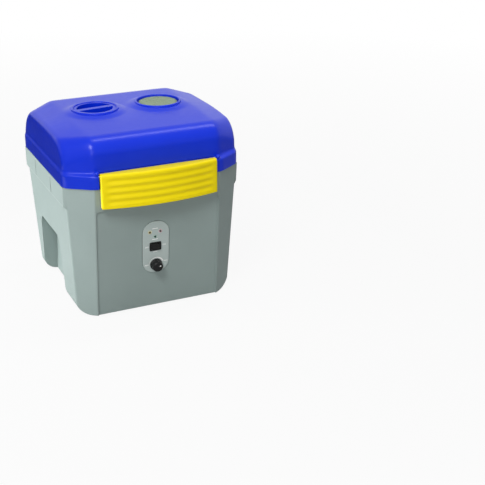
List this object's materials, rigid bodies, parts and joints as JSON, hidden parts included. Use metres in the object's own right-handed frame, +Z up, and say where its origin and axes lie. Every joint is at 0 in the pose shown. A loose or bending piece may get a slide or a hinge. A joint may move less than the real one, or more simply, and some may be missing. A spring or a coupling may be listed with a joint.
{
  "type": "bench-top solder fume extractor",
  "caption": "Bench-top fume extractor: grey tub on legs, hinged blue hood with duct ports, yellow pull-out latch, front control plate, box filter and centrifugal fan inside.",
  "frame": {"origin": "on the bench under the middle of the machine, midway between its sides and between the front of the latch and the back of the hinges", "axes": "+Z up; -Y faces the user at the front; +X to the right seen from the front"},
  "size_m": [0.405, 0.42, 0.434],
  "materials": {
    "grey_moulding": "fine grained grey moulding",
    "blue_moulding": "smooth deep blue moulding",
    "yellow_moulding": "smooth yellow moulding",
    "zinc_sheet": "zinc-plated sheet",
    "screw_steel": "plated screw steel",
    "foot_rubber": "black rubber",
    "inner_plastic": "dark inner moulding",
    "galvanised_sheet": "galvanised sheet",
    "filter_paper": "pleated white filter paper",
    "gasket_foam": "black closed-cell foam",
    "prefilter_fleece": "white fleece mat",
    "fan_plastic": "black glass-filled plastic",
    "shaft_steel": "ground steel",
    "motor_case": "black enamel",
    "screen_plastic": "grey-olive screen plastic",
    "plate_plastic": "pale grey plate",
    "amber_lens": "amber lens",
    "red_lens": "red lens",
    "green_lens": "green lens",
    "black_plastic": "black plastic",
    "black_gloss": "glossy black plastic",
    "pot_case": "pressed control case",
    "white_mark": "white inlay",
    "board_laminate": "green board laminate",
    "standoff_brass": "brass post",
    "grille_plastic": "dark grille moulding",
    "blade_brass": "plated brass blade"
  },
  "bodies": {
    "housing": {"main_housing": "grey_moulding", "base_plate": "zinc_sheet", "base_screws": "screw_steel", "rubber_feet": "foot_rubber", "filter_deck": "inner_plastic", "filter_frame": "galvanised_sheet", "filter_media": "filter_paper", "filter_gasket_lower": "gasket_foam", "filter_gasket_upper": "gasket_foam", "prefilter": "prefilter_fleece", "lid_seal": "gasket_foam", "inlet_ring": "inner_plastic", "motor_body": "motor_case", "motor_mount": "zinc_sheet", "hinge_pins": "shaft_steel", "control_plate": "plate_plastic", "led_yellow": "amber_lens", "led_red": "red_lens", "led_green": "green_lens", "switch_body": "black_plastic", "speed_control": "pot_case", "control_board": "board_laminate", "board_standoffs": "standoff_brass", "electronics_cover": "inner_plastic", "exhaust_grille": "grille_plastic", "mains_inlet": "black_plastic", "inlet_blades": "blade_brass"},
    "lid": {"lid_shell": "blue_moulding", "port_screen": "screen_plastic"},
    "plug": {"port_cap": "blue_moulding"},
    "latch": {"latch_handle": "yellow_moulding", "latch_rod": "shaft_steel"},
    "rocker": {"power_rocker": "black_gloss"},
    "knob": {"speed_knob": "black_plastic", "knob_shaft": "shaft_steel", "knob_pointer": "white_mark"},
    "fan": {"fan_impeller": "fan_plastic", "motor_shaft": "shaft_steel"}
  },
  "joints": [
    {"name": "lid_hinge", "type": "hinge", "parent": "housing", "child": "lid", "pos_m": [0, 0.2045, 0.3139], "axis": [-1, 0, 0], "range_deg": [0, 100]},
    {"name": "latch_pivot", "type": "hinge", "parent": "lid", "child": "latch", "pos_m": [0, -0.183, 0.3405], "axis": [-1, 0, 0], "range_deg": [0, 80]},
    {"name": "plug_lift", "type": "slide", "parent": "lid", "child": "plug", "axis": [0, 0, 1], "range_m": [0, 0.045]},
    {"name": "rocker_tilt", "type": "hinge", "parent": "housing", "child": "rocker", "pos_m": [-0.008, -0.16491, 0.15456], "axis": [0, -0.1005, 0.9949], "range_deg": [0, 14]},
    {"name": "knob_turn", "type": "hinge", "parent": "housing", "child": "knob", "pos_m": [-0.0064, -0.16694, 0.10802], "axis": [0, -0.9949, -0.1005], "range_deg": [-150, 130]},
    {"name": "fan_spin", "type": "hinge", "parent": "housing", "child": "fan", "pos_m": [0, 0.012, 0.12], "axis": [0, 0, 1], "continuous": true}
  ]
}
